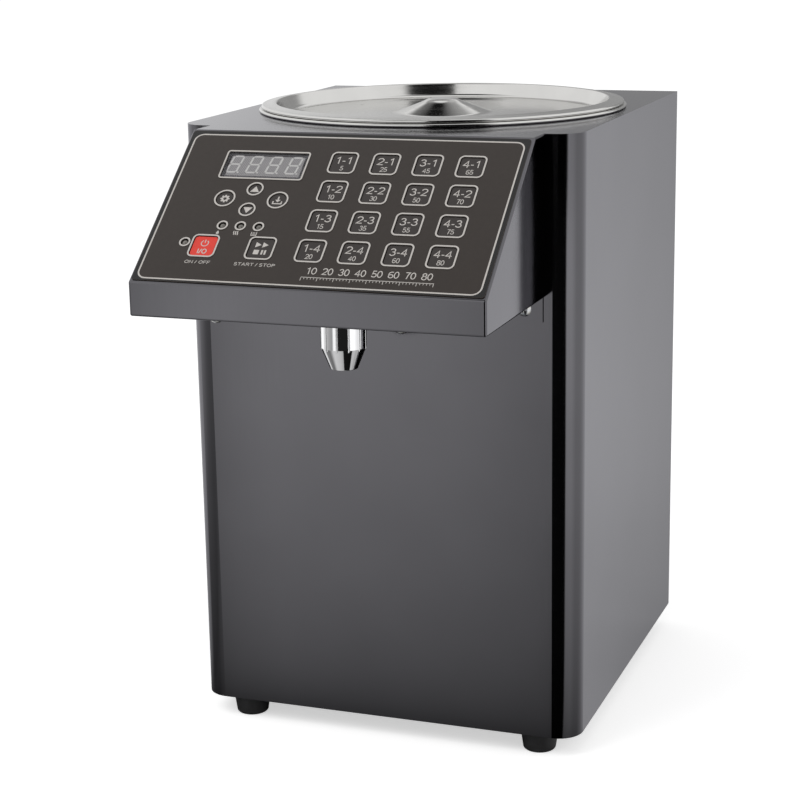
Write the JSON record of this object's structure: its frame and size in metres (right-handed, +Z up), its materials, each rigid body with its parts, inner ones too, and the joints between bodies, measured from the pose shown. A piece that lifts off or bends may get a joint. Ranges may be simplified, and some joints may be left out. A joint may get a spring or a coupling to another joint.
{
  "type": "fructose dispenser",
  "caption": "Countertop syrup dispenser: a tall sheet-steel casing with a round lidded tank on top, a sloping keypad head with a digital display, and a fluted chrome nozzle under it.",
  "frame": {"origin": "under the middle of the whole machine's outline, at the soles of its feet", "axes": "+X to the user's right, +Y to the rear (the nozzle and the panel are at -Y), +Z up"},
  "size_m": [0.27, 0.4018, 0.4193],
  "materials": {
    "dark_steel": "dark coated stainless sheet, glossy",
    "bright_steel": "polished stainless",
    "overlay_film": "printed polycarbonate film",
    "ivory_print": "satin",
    "smoked_window": "smoked acrylic",
    "black_plastic": "moulded, fine grain",
    "white_plastic": "moulded nylon",
    "green_laminate": "solder-masked laminate",
    "lamp_plastic": "diffused clear lamp resin",
    "brass": "machined, nickel-free",
    "silicone_hose": "translucent silicone",
    "pump_aluminium": "die cast",
    "pump_steel": "machined",
    "zinc_steel": "bright zinc",
    "motor_paint": "black enamel",
    "chrome": "mirror",
    "cable_sheath": "matt sheath",
    "foot_rubber": "matt rubber",
    "red_key": "printed, satin",
    "dark_key": "printed, satin"
  },
  "bodies": {
    "housing": {"casing_wrap": "dark_steel", "top_deck": "dark_steel", "rear_panel": "dark_steel", "base_plate": "dark_steel", "head_shell": "dark_steel", "head_bottom_plate": "dark_steel", "panel_overlay": "overlay_film", "key_bezels": "ivory_print", "display_window": "smoked_window", "display_module": "black_plastic", "control_board": "green_laminate", "tact_switches": "black_plastic", "panel_leds": "lamp_plastic", "board_standoffs": "brass", "tank": "bright_steel", "heater_band": "bright_steel", "thermostat": "black_plastic", "level_sensor": "white_plastic", "hose_barbs": "white_plastic", "suction_hose": "silicone_hose", "delivery_hose": "silicone_hose", "hose_clamps": "bright_steel", "pump_housing": "pump_aluminium", "pump_cover": "pump_aluminium", "pump_bracket": "zinc_steel", "pump_motor": "motor_paint", "nozzle_stem": "brass", "nozzle_locknut": "brass", "power_supply": "pump_aluminium", "power_inlet": "black_plastic", "wiring_harness": "cable_sheath", "feet": "foot_rubber", "case_screws": "zinc_steel"},
    "dose_key_1_1": {"dose_key_1_1": "dark_key"},
    "dose_key_1_2": {"dose_key_1_2": "dark_key"},
    "dose_key_1_3": {"dose_key_1_3": "dark_key"},
    "dose_key_1_4": {"dose_key_1_4": "dark_key"},
    "dose_key_2_1": {"dose_key_2_1": "dark_key"},
    "dose_key_2_2": {"dose_key_2_2": "dark_key"},
    "dose_key_2_3": {"dose_key_2_3": "dark_key"},
    "dose_key_2_4": {"dose_key_2_4": "dark_key"},
    "dose_key_3_1": {"dose_key_3_1": "dark_key"},
    "dose_key_3_2": {"dose_key_3_2": "dark_key"},
    "dose_key_3_3": {"dose_key_3_3": "dark_key"},
    "dose_key_3_4": {"dose_key_3_4": "dark_key"},
    "dose_key_4_1": {"dose_key_4_1": "dark_key"},
    "dose_key_4_2": {"dose_key_4_2": "dark_key"},
    "dose_key_4_3": {"dose_key_4_3": "dark_key"},
    "dose_key_4_4": {"dose_key_4_4": "dark_key"},
    "key_power": {"key_power": "red_key"},
    "key_run_stop": {"key_run_stop": "dark_key"},
    "key_up": {"key_up": "dark_key"},
    "key_down": {"key_down": "dark_key"},
    "key_setting": {"key_setting": "dark_key"},
    "key_storage": {"key_storage": "dark_key"},
    "lid": {"lid": "bright_steel"},
    "nozzle_cap": {"nozzle_cap": "chrome"},
    "drive_gear": {"drive_gear": "pump_steel"},
    "idler_gear": {"idler_gear": "pump_steel"},
    "fuse_drawer": {"fuse_drawer": "black_plastic"}
  },
  "joints": [
    {"name": "dose_key_1_1_press", "type": "slide", "parent": "housing", "child": "dose_key_1_1", "axis": [0, 0.6307, -0.776], "range_m": [0, 0.0008], "stiffness_N_per_m": 600},
    {"name": "dose_key_1_2_press", "type": "slide", "parent": "housing", "child": "dose_key_1_2", "axis": [0, 0.6307, -0.776], "range_m": [0, 0.0008], "stiffness_N_per_m": 600},
    {"name": "dose_key_1_3_press", "type": "slide", "parent": "housing", "child": "dose_key_1_3", "axis": [0, 0.6307, -0.776], "range_m": [0, 0.0008], "stiffness_N_per_m": 600},
    {"name": "dose_key_1_4_press", "type": "slide", "parent": "housing", "child": "dose_key_1_4", "axis": [0, 0.6307, -0.776], "range_m": [0, 0.0008], "stiffness_N_per_m": 600},
    {"name": "dose_key_2_1_press", "type": "slide", "parent": "housing", "child": "dose_key_2_1", "axis": [0, 0.6307, -0.776], "range_m": [0, 0.0008], "stiffness_N_per_m": 600},
    {"name": "dose_key_2_2_press", "type": "slide", "parent": "housing", "child": "dose_key_2_2", "axis": [0, 0.6307, -0.776], "range_m": [0, 0.0008], "stiffness_N_per_m": 600},
    {"name": "dose_key_2_3_press", "type": "slide", "parent": "housing", "child": "dose_key_2_3", "axis": [0, 0.6307, -0.776], "range_m": [0, 0.0008], "stiffness_N_per_m": 600},
    {"name": "dose_key_2_4_press", "type": "slide", "parent": "housing", "child": "dose_key_2_4", "axis": [0, 0.6307, -0.776], "range_m": [0, 0.0008], "stiffness_N_per_m": 600},
    {"name": "dose_key_3_1_press", "type": "slide", "parent": "housing", "child": "dose_key_3_1", "axis": [0, 0.6307, -0.776], "range_m": [0, 0.0008], "stiffness_N_per_m": 600},
    {"name": "dose_key_3_2_press", "type": "slide", "parent": "housing", "child": "dose_key_3_2", "axis": [0, 0.6307, -0.776], "range_m": [0, 0.0008], "stiffness_N_per_m": 600},
    {"name": "dose_key_3_3_press", "type": "slide", "parent": "housing", "child": "dose_key_3_3", "axis": [0, 0.6307, -0.776], "range_m": [0, 0.0008], "stiffness_N_per_m": 600},
    {"name": "dose_key_3_4_press", "type": "slide", "parent": "housing", "child": "dose_key_3_4", "axis": [0, 0.6307, -0.776], "range_m": [0, 0.0008], "stiffness_N_per_m": 600},
    {"name": "dose_key_4_1_press", "type": "slide", "parent": "housing", "child": "dose_key_4_1", "axis": [0, 0.6307, -0.776], "range_m": [0, 0.0008], "stiffness_N_per_m": 600},
    {"name": "dose_key_4_2_press", "type": "slide", "parent": "housing", "child": "dose_key_4_2", "axis": [0, 0.6307, -0.776], "range_m": [0, 0.0008], "stiffness_N_per_m": 600},
    {"name": "dose_key_4_3_press", "type": "slide", "parent": "housing", "child": "dose_key_4_3", "axis": [0, 0.6307, -0.776], "range_m": [0, 0.0008], "stiffness_N_per_m": 600},
    {"name": "dose_key_4_4_press", "type": "slide", "parent": "housing", "child": "dose_key_4_4", "axis": [0, 0.6307, -0.776], "range_m": [0, 0.0008], "stiffness_N_per_m": 600},
    {"name": "key_power_press", "type": "slide", "parent": "housing", "child": "key_power", "axis": [0, 0.6307, -0.776], "range_m": [0, 0.0008], "stiffness_N_per_m": 600},
    {"name": "key_run_stop_press", "type": "slide", "parent": "housing", "child": "key_run_stop", "axis": [0, 0.6307, -0.776], "range_m": [0, 0.0008], "stiffness_N_per_m": 600},
    {"name": "key_up_press", "type": "slide", "parent": "housing", "child": "key_up", "axis": [0, 0.6307, -0.776], "range_m": [0, 0.0008], "stiffness_N_per_m": 600},
    {"name": "key_down_press", "type": "slide", "parent": "housing", "child": "key_down", "axis": [0, 0.6307, -0.776], "range_m": [0, 0.0008], "stiffness_N_per_m": 600},
    {"name": "key_setting_press", "type": "slide", "parent": "housing", "child": "key_setting", "axis": [0, 0.6307, -0.776], "range_m": [0, 0.0008], "stiffness_N_per_m": 600},
    {"name": "key_storage_press", "type": "slide", "parent": "housing", "child": "key_storage", "axis": [0, 0.6307, -0.776], "range_m": [0, 0.0008], "stiffness_N_per_m": 600},
    {"name": "lid_lift", "type": "slide", "parent": "housing", "child": "lid", "axis": [0, 0, 1], "range_m": [0, 0.15]},
    {"name": "nozzle_spin", "type": "hinge", "parent": "housing", "child": "nozzle_cap", "pos_m": [0, -0.1361, 0.3089], "axis": [0, 0, 1], "continuous": true},
    {"name": "drive_gear_spin", "type": "hinge", "parent": "housing", "child": "drive_gear", "pos_m": [0, 0.0159, 0.102], "axis": [1, 0, 0], "continuous": true},
    {"name": "idler_gear_spin", "type": "hinge", "parent": "housing", "child": "idler_gear", "pos_m": [0, 0.0159, 0.078], "axis": [1, 0, 0], "continuous": true},
    {"name": "fuse_drawer_slide", "type": "slide", "parent": "housing", "child": "fuse_drawer", "axis": [0, 1, 0], "range_m": [0, 0.015]}
  ],
  "couplings": [
    {"joint": "idler_gear_spin", "follows": "drive_gear_spin", "ratio": -1}
  ]
}
